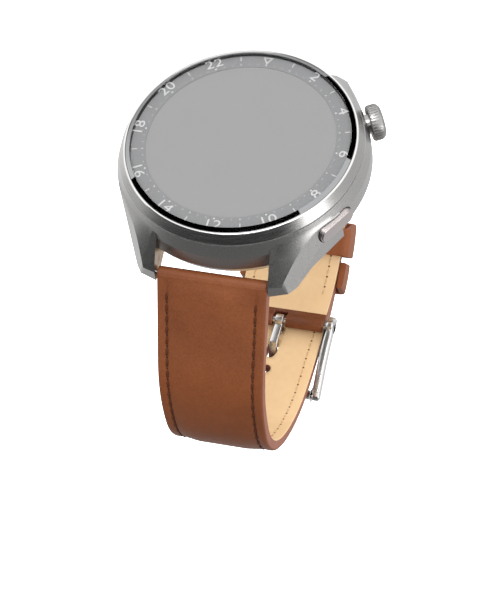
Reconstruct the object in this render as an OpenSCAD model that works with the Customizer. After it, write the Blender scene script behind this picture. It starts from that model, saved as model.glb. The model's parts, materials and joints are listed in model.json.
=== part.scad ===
// Round smartwatch on a buckled leather strap.
// +X points to the crown side, +Y to 12 o'clock and +Z out of the dial.
// The origin is the middle of the case back, on the plane that meets the wrist.

/* [Case] */
// Widest diameter of the case
case_d = 48.6; // [48.2:0.1:49]
// Height of the dial print above the case back
dial_z = 13.4; // [13.2:0.1:13.8]
// Radius of the flat top of the front glass
glass_flat_r = 21.1; // [20.9:0.1:21.3]
// Outer radius of the front glass
glass_r = 21.95; // [21.9:0.05:22]
// Distance from the dial centre to each spring bar
bar_y = 24.9; // [24.8:0.05:25]
// Height of the spring bars above the case back
bar_z = 2.1; // [2:0.05:2.2]

/* [Crown and button] */
// Angle from 3 o'clock to the crown and to the side button
side_angle = 30; // [28:1:32]
// Height of the crown axis above the case back
crown_z = 7.3; // [7.1:0.1:7.5]
// Radius of the crown cap
crown_r = 3.55; // [3.3:0.05:3.6]
// Length of the side button
button_len = 8.6; // [8:0.1:8.8]
// Height of the side button
button_w = 3.3; // [3:0.1:3.4]

/* [Strap] */
// Strap width between the lugs
strap_w = 21.5; // [21:0.1:21.7]
// Strap width at the buckle
strap_end_w = 18.6; // [18:0.1:19]
// Thickness of the outer leather
leather_t = 1.35; // [1.2:0.05:1.4]
// Thickness of the lining
lining_t = 0.85; // [0.8:0.05:0.9]
// Lean of the front strap where it leaves the lugs, from the vertical
lean = 31; // [29:1:33]
// Radius of the loop on the 12 o'clock side
loop_r = 25; // [24.8:0.1:25.2]
// Spacing of the adjustment holes
hole_pitch = 5.2; // [5:0.1:5.4]

/* [Hidden] */
$fn = 96;
// running clearance of pins and shafts
fit = 0.05;
case_r = case_d / 2;
cavity_r = 21.2;
seat_z = dial_z - 2.3;
glass_under = dial_z - 0.35;
lug_in = strap_w / 2 + 0.3;
lug_hole_end = lug_in + 1.2;
side_r = case_r + 0.5;
strap_t = leather_t + lining_t;
// how far out the lining ends and the leather begins, from the middle of the strap
join_off = lining_t - strap_t / 2;

// spring bars
tube_r = 0.8;
pin_travel = 1.1;
tube_half = lug_in - 2;

// strap middle line, as [y, z] points with headings in degrees
front_a = [-bar_y, bar_z];
front_b = [-bar_y - 17 * sin(lean), bar_z - 17 * cos(lean)];
front_c = [-37.6, dial_z - 41.5];
front_d = [-20.4, dial_z - 60.1];
loop_c = [2.5, dial_z - 35.4];
tail_r = loop_r + strap_t + 0.15;
tail_from = -6;
tail_to = 72;
rear_a = [bar_y, bar_z];
rear_b = [loop_c[0] + loop_r, loop_c[1]];
buckle_angle = -2.8;
buckle_c = loop_c + (loop_r - 0.25) * [sin(buckle_angle), -cos(buckle_angle)];
buckle_end = [-12.6, dial_z - 64.9];
roll_r = 1.38;
buckle_roll_r = 1.35;
bar_r = 0.6;

// the leather bends at these points of the middle lines when the loop swings
front_flex_i = 7;
rear_flex_i = 6;
flex_gap = 0.3;
fixed_keeper_arc = 12.5;
free_keeper_arc = 14.2;
fixed_keeper_at = 18.4;
free_keeper_at = 33.5;
keeper_t = 1.2;

// ---------- helpers ----------

// a ring or disc turned from a list of [radius, height] points
module turned(points) {
    rotate_extrude() polygon(points);
}

// puts local +Z along the outward direction of the crown (side 1) or button (side -1)
module outward(side) {
    rotate([0, 0, side * side_angle])
        translate([0, 0, crown_z])
            rotate([0, 90, 0]) children();
}

module pipe(r_out, r_in, z0, z1) {
    difference() {
        translate([0, 0, z0]) cylinder(r = r_out, h = z1 - z0);
        translate([0, 0, z0 - 1]) cylinder(r = r_in, h = z1 - z0 + 2);
    }
}

module rod(r, z0, z1) {
    translate([0, 0, z0]) cylinder(r = r, h = z1 - z0);
}

module o_ring(ring_r, cord_r, z) {
    translate([0, 0, z]) rotate_extrude() translate([ring_r, 0]) circle(r = cord_r, $fn = 24);
}

// flat bar with round ends, long along local Y, thick along local Z
module pill(len, width, z0, z1) {
    half = (len - width) / 2;
    translate([-width / 2, -half, z0]) cube([width, 2 * half, z1 - z0]);
    for (side = [-1, 1]) translate([0, side * half, 0]) rod(width / 2, z0, z1);
}

// extrudes a drawing made in the YZ plane along X, centred
module across(width) {
    rotate([90, 0, 90])
        translate([0, 0, -width / 2])
            linear_extrude(width) children();
}

// a cylinder along X through a point of the YZ plane
module cross_rod(r, p, half) {
    translate([-half, p[0], p[1]]) rotate([0, 90, 0]) cylinder(r = r, h = 2 * half);
}

module mirrored(flip, axis) {
    if (flip) mirror(axis) children();
    else children();
}

module four_lugs() {
    for (fx = [false, true], fy = [false, true])
        mirrored(fx, [1, 0, 0]) mirrored(fy, [0, 1, 0]) children();
}

// a coil spring along local Z with open ends
module coil(r, wire_r, z0, z1, turns) {
    steps = turns * 8;
    sides = 5;
    points = [for (i = [0:steps], k = [0:sides - 1])
        let (a = i * 45, b = k * 72, q = r + wire_r * cos(b))
        [q * cos(a), q * sin(a),
         z0 + wire_r + (z1 - z0 - 2 * wire_r) * i / steps + wire_r * sin(b)]];
    walls = [for (i = [0:steps - 1], k = [0:sides - 1])
        let (m = (k + 1) % sides, o = i * sides)
        each [[o + k, o + m, o + sides + m], [o + k, o + sides + m, o + sides + k]]];
    first = [for (k = [sides - 1:-1:0]) k];
    last = [for (k = [0:sides - 1]) steps * sides + k];
    polyhedron(points, concat(walls, [first, last]));
}

// ---------- strap path ----------

function dir(a) = [cos(a), sin(a)];
// cubic curve from p to q that leaves at heading a and arrives at heading b
function curve(p, a, q, b, t) =
    let (h = 0.36 * norm(q - p), c = p + h * dir(a), d = q - h * dir(b))
    (1 - t) ^ 3 * p + 3 * t * (1 - t) ^ 2 * c + 3 * t ^ 2 * (1 - t) * d + t ^ 3 * q;
function curve_points(p, a, q, b, n) = [for (i = [0:n - 1]) curve(p, a, q, b, i / n)];
// points on the round loop; angle 0 is its lowest point
function loop_point(r, a) = loop_c + r * [sin(a), -cos(a)];
function arc_points(r, a0, a1, n) = [for (i = [0:n]) loop_point(r, a0 + (a1 - a0) * i / n)];

// middle line of the long strap, from the 6 o'clock bar to the tail
front_line = concat(
    [for (i = [0:3]) front_a + (front_b - front_a) * i / 4],
    curve_points(front_b, -90 - lean, front_c, -90, 5),
    curve_points(front_c, -90, front_d, -20, 10),
    curve_points(front_d, -20, loop_point(tail_r, tail_from), tail_from, 6),
    arc_points(tail_r, tail_from, tail_to, 20));
// middle line of the short strap, from the 12 o'clock bar to the buckle
rear_line = concat(
    curve_points(rear_a, -82, rear_b, -90, 6),
    arc_points(loop_r, 90, buckle_angle, 24));

function run(line, i) = i == 0 ? 0 : run(line, i - 1) + norm(line[i] - line[i - 1]);
function heading(line, i) =
    let (v = line[min(i + 1, len(line) - 1)] - line[max(i - 1, 0)]) v / norm(v);
// [point, heading] at distance s along a line
function reach(line, s, i = 0) =
    let (v = line[i + 1] - line[i])
    s <= norm(v) || i == len(line) - 2 ? [line[i] + v / norm(v) * s, v / norm(v)]
    : reach(line, s - norm(v), i + 1);

front_n = len(front_line) - 1;
rear_n = len(rear_line) - 1;
tail_i = front_n - 20;
front_taper = (strap_w - strap_end_w) / 2 / run(front_line, tail_i);
rear_taper = (strap_w - strap_end_w) / 2 / run(rear_line, rear_n);
tip_round = [0.62, 0.87, 0.97];
front_half = [for (i = [0:front_n])
    (strap_w / 2 - front_taper * run(front_line, i)) * (i > front_n - 3 ? tip_round[front_n - i] : 1)];
rear_half = [for (i = [0:rear_n]) strap_w / 2 - rear_taper * run(rear_line, i)];
// the strap is thicker where it folds round a spring bar
function fold(line, i) = (roll_r - 0.05 - strap_t / 2) * max(0, 1 - run(line, i) / 14);
function inner_face(line) = [for (i = [0:len(line) - 1]) -strap_t / 2 - fold(line, i)];
function outer_face(line) = [for (i = [0:len(line) - 1]) strap_t / 2 + fold(line, i)];
function middle_face(line) = [for (i = [0:len(line) - 1]) join_off];

tongue_s = run(front_line, tail_i) - 5;
holes = [for (k = [-3:3]) reach(front_line, tongue_s + k * hole_pitch)];

// a band along points i0 to i1 of a line; side is 1 where outward is on the right
module ribbon(line, half, side, i0, i1, trim0, trim1, lo, hi) {
    points = [for (i = [i0:i1])
        let (d = heading(line, i),
             c = line[i] + d * (i == i0 ? trim0 : i == i1 ? -trim1 : 0),
             n = side * [d[1], -d[0]],
             a = c + n * lo[i],
             b = c + n * hi[i],
             h = half[i])
        each [[-h, a[0], a[1]], [h, a[0], a[1]], [h, b[0], b[1]], [-h, b[0], b[1]]]];
    rings = i1 - i0;
    walls = [for (j = [0:rings - 1], k = [0:3])
        let (m = (k + 1) % 4) [4 * j + k, 4 * j + m, 4 * j + 4 + m, 4 * j + 4 + k]];
    ends = [[3, 2, 1, 0], [4 * rings, 4 * rings + 1, 4 * rings + 2, 4 * rings + 3]];
    faces = concat(walls, ends);
    polyhedron(points, side < 0 ? faces : [for (f = faces) [f[3], f[2], f[1], f[0]]]);
}

// places children at a strap hole with local +Z pointing out of the loop
module at_hole(hole) {
    turn_x = atan2(hole[1][1], hole[1][0]) + 180;
    translate([0, hole[0][0], hole[0][1]]) rotate([turn_x, 0, 0]) children();
}

module strap_holes() {
    for (k = [0:6])
        at_hole(holes[k])
            if (k == 3) pill(4.6, 2.3, -3, 3);
            else rod(1.05, -3, 3);
}

// ---------- screen side ----------

module front_glass() {
    color([0.1, 0.11, 0.12])
        turned([[0, glass_under], [glass_r, glass_under], [glass_r, dial_z - 0.2],
            [glass_flat_r, dial_z + 0.35], [0, dial_z + 0.35]]);
}

module dial_ring() {
    color([0.55, 0.56, 0.57]) pipe(20.85, 18.15, glass_under - 0.05, glass_under);
}

module display_panel() {
    color([0.62, 0.63, 0.64]) rod(20.6, glass_under - 1.05, glass_under - 0.06);
}

module glass_gasket() {
    color("black") pipe(glass_r - 0.05, 21, glass_under - 0.15, glass_under);
}

module bezel() {
    lip_z = dial_z - 0.1;
    ledge_z = glass_under - 0.15;
    color([0.5, 0.51, 0.52])
        turned([[21.6, seat_z], [23.35, seat_z], [23.35, seat_z + 0.3], [22.45, lip_z - 0.2],
            [22.25, lip_z], [glass_r + fit, lip_z], [glass_r + fit, ledge_z], [20.9, ledge_z],
            [20.9, ledge_z - 0.6], [21.6, ledge_z - 0.6]]);
}

module antenna_ring() {
    color([0.2, 0.2, 0.2]) pipe(21.1, 20.3, 9.3, seat_z - 0.1);
}

module display_bracket() {
    color([0.25, 0.25, 0.27])
        difference() {
            pipe(21.5, 15, seat_z + 0.1, seat_z + 0.85);
            translate([-4, 14, seat_z]) cube([8, 5.6, 1]);
        }
}

module display_flex() {
    film = 0.15;
    top_z = glass_under - 1.07;
    low_z = 9.82;
    color("orange")
        across(5)
            polygon([[15.5, top_z], [19.3, top_z], [19.3, low_z], [16.5, low_z],
                [16.5, low_z + film], [19.3 - film, low_z + film],
                [19.3 - film, top_z - film], [15.5, top_z - film]]);
}

// ---------- case ----------

lug_tip = [lug_in, 26.1];
lug_corner = [14.9, 24.7];
shoulder = [24, 9.4];
cone_slope = 1.333;

// where the outer side of the lug meets the round case
function tangent_point(p) =
    let (a = atan2(p[1], p[0]) - acos(case_r / norm(p))) case_r * dir(a);

module lug() {
    cone_r = 31;
    difference() {
        intersection() {
            translate([0, 0, 0.5])
                linear_extrude(10)
                    polygon([[lug_in, 17], lug_tip, lug_corner, tangent_point(lug_corner), [18, 8]]);
            turned([[0, 0], [cone_r, 0], [cone_r, shoulder[1] - cone_slope * (cone_r - shoulder[0])],
                shoulder, [0, shoulder[1]]]);
            across(60) polygon([[7, 2.3], [19, 2.3], [22.8, 1], [28, 1], [28, 11], [7, 11]]);
        }
        // long chamfer that widens towards the tip
        translate([13.5, 25, 3.8])
            rotate([0, 0, 35.3])
                rotate([0, -14.3, 0])
                    translate([0, -30, -30]) cube([20, 60, 60]);
        rod(21.9, -1, 12);
    }
}

module mid_case() {
    color([0.6, 0.61, 0.62])
        difference() {
            union() {
                turned([[cavity_r, 2.3], [22.2, 2.3], [23.5, 3.5], [case_r, 5.2], [case_r, 8.4],
                    shoulder, [23.45, seat_z], [cavity_r, seat_z]]);
                four_lugs() lug();
            }
            // blind holes for the spring bar tips
            for (end = [-1, 1]) cross_rod(0.45, [end * bar_y, bar_z], lug_hole_end);
            outward(1) {
                rod(1.6, 18, 25);
                rod(2.3, 23.4, 30);
                // seat that leaves room for the pressed crown beside the lug
                rod(crown_r + 0.2, case_r + 0.02, 30);
            }
            outward(-1) {
                pill(button_len + 0.3, button_w + 0.3, 22.2, 30);
                for (y = [-2.6, 2.6]) translate([0, y, 0]) {
                    rod(0.65, 18, 23);
                    rod(1.2, 21.7, 23);
                }
            }
            // sound holes at 9 o'clock
            for (y = [-2.4, 0, 2.4])
                translate([-18, y, crown_z]) rotate([0, -90, 0]) cylinder(r = 0.5, h = 10);
        }
}

frame_post_r = 18.4;

module at_posts() {
    for (a = [45:90:315]) rotate([0, 0, a]) translate([frame_post_r, 0, 0]) children();
}

module inner_frame() {
    color([0.15, 0.15, 0.16])
        difference() {
            union() {
                pipe(20.9, 13.4, 4.6, 5.4);
                pipe(14, 13.4, 5, 8.9);
                at_posts() rod(1.5, 2.35, 8.95);
            }
            at_posts() {
                rod(0.5, 1, 5);
                rod(0.5, 6.5, 9.5);
            }
        }
}

module back_cover() {
    color([0.12, 0.12, 0.13])
        difference() {
            turned([[15.05, 0.85], [17.5, 0.9], [21.4, 1.6], [22.1, 2.05], [22.1, 2.28],
                [21.1, 2.28], [21.1, 2.5], [20.75, 2.5], [20.75, 3], [21.1, 3], [21.1, 3.2],
                [20.1, 3.2], [20.1, 2.6], [17, 1.9], [15.05, 1.9]]);
            at_posts() {
                rod(0.55, 0, 4);
                rod(1.05, 0, 1.6);
                // seat for the frame's foot
                rod(1.6, 2.34, 4);
            }
        }
}

module sensor_window() {
    color([0.08, 0.08, 0.09])
        turned([[0, 0], [9, 0], [12.5, 0.3], [15, 0.85], [15, 1.6], [0, 1.6]]);
}

module back_gasket() {
    color("dimgray") o_ring(20.97, 0.22, 2.75);
}

module screw(head_z, tip_z, head_t) {
    low = min(head_z, head_z + head_t);
    difference() {
        union() {
            rod(0.95, low, low + abs(head_t));
            rod(0.5, min(head_z, tip_z), max(head_z, tip_z));
        }
        // cross recess in the face of the head
        for (a = [0, 90])
            rotate([0, 0, a])
                translate([-0.55, -0.12, head_z + head_t - 0.2]) cube([1.1, 0.24, 0.4]);
    }
}

module back_screws() {
    color("silver") at_posts() screw(1.6, 4.6, -0.45);
}

module board_screws() {
    color("silver") at_posts() screw(9.8, 7, 0.6);
}

// ---------- electronics ----------

module main_board() {
    color([0.05, 0.3, 0.15])
        difference() {
            rod(20.1, 9, 9.8);
            at_posts() rod(0.6, 8, 11);
        }
}

module shield_cans() {
    color("silver") {
        translate([-11, -7, 9.8]) cube([10, 14, 1.1]);
        translate([0.5, -8, 9.8]) cube([10, 13, 1.1]);
    }
}

module battery() {
    color([0.75, 0.76, 0.78])
        turned([[0, 4.7], [12.9, 4.7], [13.2, 5], [13.2, 8.4], [12.9, 8.7], [0, 8.7]]);
}

module speaker() {
    color([0.3, 0.3, 0.32])
        difference() {
            translate([-19, -4.8, 5.45]) cube([4.5, 9.6, 3.2]);
            for (y = [-2.4, 0, 2.4])
                translate([-18, y, crown_z]) rotate([0, -90, 0]) cylinder(r = 0.6, h = 2);
        }
}

module vibration_motor() {
    color("lightgray") translate([-4.4, -18.7, 5.45]) cube([8.8, 4, 2.8]);
}

module charging_coil() {
    color([0.72, 0.4, 0.2]) pipe(14, 9.5, 3.3, 4);
}

module sensor_board() {
    color([0.05, 0.3, 0.15]) rod(12.5, 2.4, 3);
}

module optical_sensors() {
    color([0.85, 0.9, 0.8]) {
        translate([-1.4, -1.4, 1.7]) cube([2.8, 2.8, 0.7]);
        for (a = [0:45:315])
            rotate([0, 0, a]) translate([5.2, -1.1, 1.7]) cube([1.8, 2.2, 0.7]);
    }
}

// ---------- crown ----------

crown_in = case_r + 0.5;

module crown_tube() {
    color("silver") outward(1) pipe(1.6, 0.9 + fit, 20.7, 23.3);
}

module crown_cap() {
    cap_t = 2.6;
    groove = 0.16;
    color([0.55, 0.56, 0.57])
        outward(1)
            difference() {
                union() {
                    translate([0, 0, crown_in])
                        turned([[0, 0], [crown_r - 0.3, 0], [crown_r, 0.3], [crown_r, cap_t - 0.9],
                            [crown_r - 0.25, cap_t - 0.4], [crown_r - 0.8, cap_t],
                            [0, cap_t]]);
                    rod(1.9, crown_in - 0.8, crown_in + 0.1);
                }
                rod(0.9, crown_in - 2, crown_in + 0.9);
                for (a = [0:10:350])
                    rotate([0, 0, a])
                        translate([crown_r - groove, -groove, crown_in - 0.1])
                            cube([1, 2 * groove, cap_t - 0.25]);
            }
}

module crown_stem() {
    color("silver")
        outward(1)
            difference() {
                rod(0.9, 16.5, crown_in + 0.9);
                for (z = [21.5, 22.6]) pipe(1.2, 0.55, z - 0.2, z + 0.2);
                pipe(1.2, 0.6, 20.1, 20.35);
            }
}

module crown_seals() {
    color("black") outward(1) for (z = [21.5, 22.6]) o_ring(0.74, 0.185, z);
}

module crown_clip() {
    color("dimgray")
        outward(1)
            difference() {
                pipe(1.3, 0.6, 20.12, 20.33);
                translate([-0.5, 0, 20]) cube([1, 2, 1]);
            }
}

module encoder_wheel() {
    color("black")
        outward(1)
            difference() {
                pipe(1.5, 0.9, 17.8, 18.6);
                for (a = [0:30:330])
                    rotate([0, 0, a]) translate([1.25, -0.15, 17]) cube([1, 0.3, 3]);
            }
}

module crown_plunger() {
    color("white") outward(1) rod(1.1, 15.8, 16.45);
}

module crown_switch() {
    color("dimgray") outward(1) translate([-1.4, -1.6, 14.1]) cube([2.8, 3.2, 1.2]);
}

module encoder_sensor() {
    color("dimgray") outward(1) translate([-1, 1.7, 17.6]) cube([2, 1.1, 1.2]);
}

// ---------- side button ----------

button_in = 22.75;

module button_cap() {
    color([0.62, 0.6, 0.6])
        outward(-1)
            difference() {
                union() {
                    pill(button_len, button_w, button_in, side_r - 0.05);
                    pill(button_len - 0.5, button_w - 0.5, side_r - 0.2, side_r + 0.2);
                }
                for (y = [-2.6, 2.6]) translate([0, y, 0]) rod(0.6, button_in - 1, button_in + 1);
            }
}

module button_posts() {
    color("silver")
        outward(-1)
            for (y = [-2.6, 2.6]) translate([0, y, 0])
                difference() {
                    rod(0.6, 20, button_in + 1);
                    pipe(1, 0.38, 21.45, 21.75);
                }
}

module button_seals() {
    color("black") outward(-1) for (y = [-2.6, 2.6]) translate([0, y, 0]) o_ring(0.51, 0.125, 21.6);
}

module button_yoke() {
    color("dimgray")
        outward(-1)
            difference() {
                pill(7.4, 2, 20.2, 20.6);
                for (y = [-2.6, 2.6]) translate([0, y, 0]) rod(0.6, 20, 21);
            }
}

module button_springs() {
    color("silver")
        outward(-1)
            for (y = [-2.6, 2.6]) translate([0, y, 0]) coil(0.95, 0.1, 21.71, button_in - 0.01, 3);
}

module button_switch() {
    color("dimgray") outward(-1) translate([-1.2, -1.6, 17.8]) cube([2.4, 3.2, 1.6]);
}

// ---------- spring bars ----------

module bar_tube(end) {
    color("silver")
        difference() {
            cross_rod(tube_r, [end * bar_y, bar_z], tube_half);
            cross_rod(0.5 + fit, [end * bar_y, bar_z], tube_half + 1);
        }
}

module front_bar_tube() {
    bar_tube(-1);
}

module rear_bar_tube() {
    bar_tube(1);
}

// a coil in the middle of each tube, between the two pins
module bar_springs() {
    color("silver")
        for (end = [-1, 1])
            translate([0, end * bar_y, bar_z])
                rotate([0, 90, 0]) coil(0.4, 0.09, -6.55, 6.55, 11);
}

module bar_pin(end, side) {
    shoulder_x = lug_in - 0.35;
    color("silver")
        translate([0, end * bar_y, bar_z])
            rotate([0, side * 90, 0]) {
                rod(0.5, 6.6, shoulder_x);
                rod(0.75, shoulder_x - 0.45, shoulder_x);
                rod(0.4, shoulder_x - 0.1, lug_in + 1.05);
            }
}

module front_pin_left() {
    bar_pin(-1, -1);
}

module front_pin_right() {
    bar_pin(-1, 1);
}

module rear_pin_left() {
    bar_pin(1, -1);
}

module rear_pin_right() {
    bar_pin(1, 1);
}

// ---------- strap ----------

leather_color = [0.5, 0.3, 0.2];
lining_color = [0.93, 0.78, 0.58];
roll_half = strap_w / 2 - 0.05;

module long_leather_upper() {
    color(leather_color)
        difference() {
            union() {
                ribbon(front_line, front_half, 1, 0, front_flex_i, 0, flex_gap / 2,
                    middle_face(front_line), outer_face(front_line));
                cross_rod(roll_r, front_a, roll_half);
            }
            cross_rod(tube_r + fit, front_a, roll_half + 1);
        }
}

module long_lining_upper() {
    color(lining_color)
        ribbon(front_line, front_half, 1, 0, front_flex_i, roll_r + 0.15, flex_gap / 2,
            inner_face(front_line), middle_face(front_line));
}

module long_leather_lower() {
    color(leather_color)
        difference() {
            ribbon(front_line, front_half, 1, front_flex_i, front_n, flex_gap / 2, 0,
                middle_face(front_line), outer_face(front_line));
            strap_holes();
        }
}

module long_lining_lower() {
    color(lining_color)
        difference() {
            ribbon(front_line, front_half, 1, front_flex_i, front_n, flex_gap / 2, 0,
                inner_face(front_line), middle_face(front_line));
            strap_holes();
        }
}

// the rear bar is the open pivot of the loop, so its fold has room round the tube
module short_leather_upper() {
    color(leather_color)
        difference() {
            union() {
                ribbon(rear_line, rear_half, -1, 0, rear_flex_i, 0, flex_gap / 2,
                    middle_face(rear_line), outer_face(rear_line));
                cross_rod(roll_r, rear_a, roll_half);
            }
            cross_rod(tube_r + 0.25, rear_a, roll_half + 1);
        }
}

module short_lining_upper() {
    color(lining_color)
        ribbon(rear_line, rear_half, -1, 0, rear_flex_i, roll_r + 0.15, flex_gap / 2,
            inner_face(rear_line), middle_face(rear_line));
}

// the leather turns back round the buckle bar, with a notch for the tongue
module short_leather_lower() {
    color(leather_color)
        difference() {
            union() {
                ribbon(rear_line, rear_half, -1, rear_flex_i, rear_n, flex_gap / 2, 0.3,
                    middle_face(rear_line), outer_face(rear_line));
                ribbon(rear_line, rear_half, -1, rear_n - 1, rear_n, -0.6, 0.3,
                    inner_face(rear_line), [for (i = [0:rear_n]) strap_t / 4]);
                cross_rod(buckle_roll_r, buckle_c, strap_end_w / 2 - 0.05);
            }
            cross_rod(bar_r + fit, buckle_c, 15);
            translate([-1.5, buckle_c[0] - 3, buckle_c[1] - 4]) cube([3, 5.2, 8]);
        }
}

module short_lining_lower() {
    color(lining_color)
        ribbon(rear_line, rear_half, -1, rear_flex_i, rear_n - 1, flex_gap / 2, 0.65,
            inner_face(rear_line), middle_face(rear_line));
}

// turns a drawing in [radius, x] about the axis of the round loop, between two angles
module round_loop(from, arc) {
    translate([0, loop_c[0], loop_c[1]])
        rotate([0, 90, 0])
            rotate([0, 0, from])
                rotate_extrude(angle = arc) children();
}

keeper_top = tail_r + strap_t / 2 + 0.2;

module fixed_keeper() {
    half = 9.72;
    outer_half = half + keeper_t;
    foot = loop_r - 0.4;
    color(leather_color)
        round_loop(fixed_keeper_at, fixed_keeper_arc)
            polygon([[foot, -outer_half], [keeper_top + keeper_t, -outer_half],
                [keeper_top + keeper_t, outer_half], [foot, outer_half], [foot, half],
                [keeper_top, half], [keeper_top, -half], [foot, -half]]);
}

module free_keeper() {
    half = 10.05;
    inner_r = loop_r - strap_t / 2 - 0.2;
    color(leather_color)
        round_loop(free_keeper_at, free_keeper_arc)
            difference() {
                translate([inner_r - keeper_t, -half - keeper_t])
                    square([keeper_top - inner_r + 2 * keeper_t, 2 * (half + keeper_t)]);
                translate([inner_r, -half]) square([keeper_top - inner_r, 2 * half]);
            }
}

// ---------- buckle ----------

arm_in = strap_end_w / 2 + 0.5;
arm_t = 1.8;

module buckle_arm() {
    arm_half = 1.05;
    head = buckle_c + [1.4, -0.2];
    line = [for (i = [0:10]) curve(head, -176, buckle_end, -157, i / 10)];
    edge = [for (i = [0:10]) let (d = heading(line, i)) arm_half * [d[1], -d[0]]];
    translate([arm_in + arm_t / 2, 0, 0]) across(arm_t) {
        polygon(concat([for (i = [0:10]) line[i] + edge[i]],
            [for (i = [10:-1:0]) line[i] - edge[i]]));
        translate(head) circle(r = arm_half, $fn = 48);
        translate(buckle_end) circle(r = arm_half, $fn = 48);
    }
}

// the tongue's blade drops through the strap hole and lies under the end of the frame
module tongue_blade(width, half_t) {
    line = [buckle_c + [0, -0.3], [-4, dial_z - 60.6], [-6.6, dial_z - 64.2], [-13.6, dial_z - 66.5]];
    edge = [for (i = [0:3]) let (d = heading(line, i)) half_t * [d[1], -d[0]]];
    across(width)
        polygon(concat([for (i = [0:3]) line[i] + edge[i]],
            [for (i = [3:-1:0]) line[i] - edge[i]]));
}

module buckle_frame() {
    color([0.75, 0.76, 0.77])
        difference() {
            union() {
                buckle_arm();
                mirror([1, 0, 0]) buckle_arm();
                cross_rod(0.95, buckle_end, arm_in + 0.2);
                cross_rod(1.3, buckle_c, arm_in + arm_t);
            }
            cross_rod(bar_r, buckle_c, arm_in + arm_t + 1);
            cross_rod(1.4, buckle_c, arm_in);
            // groove that the tongue's tip rests in
            tongue_blade(2, 0.62);
        }
}

module buckle_bar() {
    color("silver") cross_rod(bar_r, buckle_c, arm_in + arm_t - 0.2);
}

module tongue() {
    eye_r = 1.2;
    color([0.75, 0.76, 0.77])
        difference() {
            union() {
                tongue_blade(1.7, 0.5);
                cross_rod(eye_r, buckle_c, 0.85);
            }
            cross_rod(bar_r + fit, buckle_c, 2);
        }
}

front_glass();
dial_ring();
display_panel();
glass_gasket();
bezel();
mid_case();
antenna_ring();
display_bracket();
display_flex();
main_board();
shield_cans();
inner_frame();
battery();
speaker();
vibration_motor();
charging_coil();
sensor_board();
optical_sensors();
back_gasket();
back_cover();
sensor_window();
back_screws();
board_screws();
crown_tube();
crown_cap();
crown_stem();
crown_seals();
crown_clip();
encoder_wheel();
crown_plunger();
encoder_sensor();
crown_switch();
button_cap();
button_posts();
button_seals();
button_yoke();
button_springs();
button_switch();
front_bar_tube();
rear_bar_tube();
bar_springs();
front_pin_left();
front_pin_right();
rear_pin_left();
rear_pin_right();
long_leather_upper();
long_lining_upper();
long_leather_lower();
long_lining_lower();
short_leather_upper();
short_lining_upper();
short_leather_lower();
short_lining_lower();
fixed_keeper();
free_keeper();
buckle_frame();
buckle_bar();
tongue();
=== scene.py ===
import json
import math
import bmesh
import bpy
from mathutils import Matrix, Vector


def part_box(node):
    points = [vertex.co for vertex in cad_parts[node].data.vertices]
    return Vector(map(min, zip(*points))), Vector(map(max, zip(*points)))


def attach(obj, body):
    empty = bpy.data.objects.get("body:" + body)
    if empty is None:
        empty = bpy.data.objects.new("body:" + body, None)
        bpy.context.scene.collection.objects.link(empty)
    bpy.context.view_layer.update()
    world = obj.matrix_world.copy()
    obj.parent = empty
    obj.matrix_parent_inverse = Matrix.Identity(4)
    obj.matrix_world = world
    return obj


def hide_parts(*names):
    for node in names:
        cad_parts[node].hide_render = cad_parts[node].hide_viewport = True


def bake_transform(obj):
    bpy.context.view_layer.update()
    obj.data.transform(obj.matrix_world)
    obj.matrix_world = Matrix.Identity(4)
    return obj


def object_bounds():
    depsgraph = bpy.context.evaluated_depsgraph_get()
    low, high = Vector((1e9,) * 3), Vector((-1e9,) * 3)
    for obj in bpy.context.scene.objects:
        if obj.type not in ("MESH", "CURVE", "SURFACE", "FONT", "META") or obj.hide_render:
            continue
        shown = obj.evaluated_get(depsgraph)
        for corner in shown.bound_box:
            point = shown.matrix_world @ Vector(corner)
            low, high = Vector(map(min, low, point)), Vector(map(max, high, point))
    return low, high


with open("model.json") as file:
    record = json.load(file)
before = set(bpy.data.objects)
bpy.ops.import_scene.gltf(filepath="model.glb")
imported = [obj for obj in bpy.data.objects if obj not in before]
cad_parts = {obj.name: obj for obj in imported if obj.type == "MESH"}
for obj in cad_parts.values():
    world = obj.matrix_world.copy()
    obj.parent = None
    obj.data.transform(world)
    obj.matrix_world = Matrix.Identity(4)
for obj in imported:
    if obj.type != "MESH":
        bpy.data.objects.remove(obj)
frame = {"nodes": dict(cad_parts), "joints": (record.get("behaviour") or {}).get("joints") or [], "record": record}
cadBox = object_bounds()
scene = bpy.context.scene
mm = 0.001
joints = {joint["name"]: joint for joint in frame["joints"]}
print("frame loaded:", len(frame["nodes"]), "nodes")


# camera

camera = {
    "place": (0.1493976, -0.3307095, 0.4470966),
    "right": (0.9571, 0.2607, -0.1267),
    "up": (-0.1396, 0.7977, 0.5867),
    "back": (0.2540, -0.5438, 0.7998),
    "lens": 180,
    "sensor": 36,
}


def makeCamera(settings):
    data = bpy.data.cameras.new("camera")
    data.lens = settings["lens"]
    data.sensor_width = settings["sensor"]
    data.clip_start = 0.01
    data.clip_end = 20
    holder = bpy.data.objects.new("camera", data)
    scene.collection.objects.link(holder)
    turn = Matrix((settings["right"], settings["up"], settings["back"])).transposed()
    holder.matrix_world = Matrix.Translation(settings["place"]) @ turn.to_quaternion().to_matrix().to_4x4()
    scene.camera = holder


makeCamera(camera)


# small tools shared by every piece

def finishMesh(name, bm, materials, sharp=35):
    mesh = bpy.data.meshes.new(name)
    bm.to_mesh(mesh)
    bm.free()
    mesh.polygons.foreach_set("use_smooth", [True] * len(mesh.polygons))
    mesh.set_sharp_from_angle(angle=math.radians(sharp))
    piece = bpy.data.objects.new(name, mesh)
    scene.collection.objects.link(piece)
    for material in materials:
        mesh.materials.append(material)
    return piece


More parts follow.
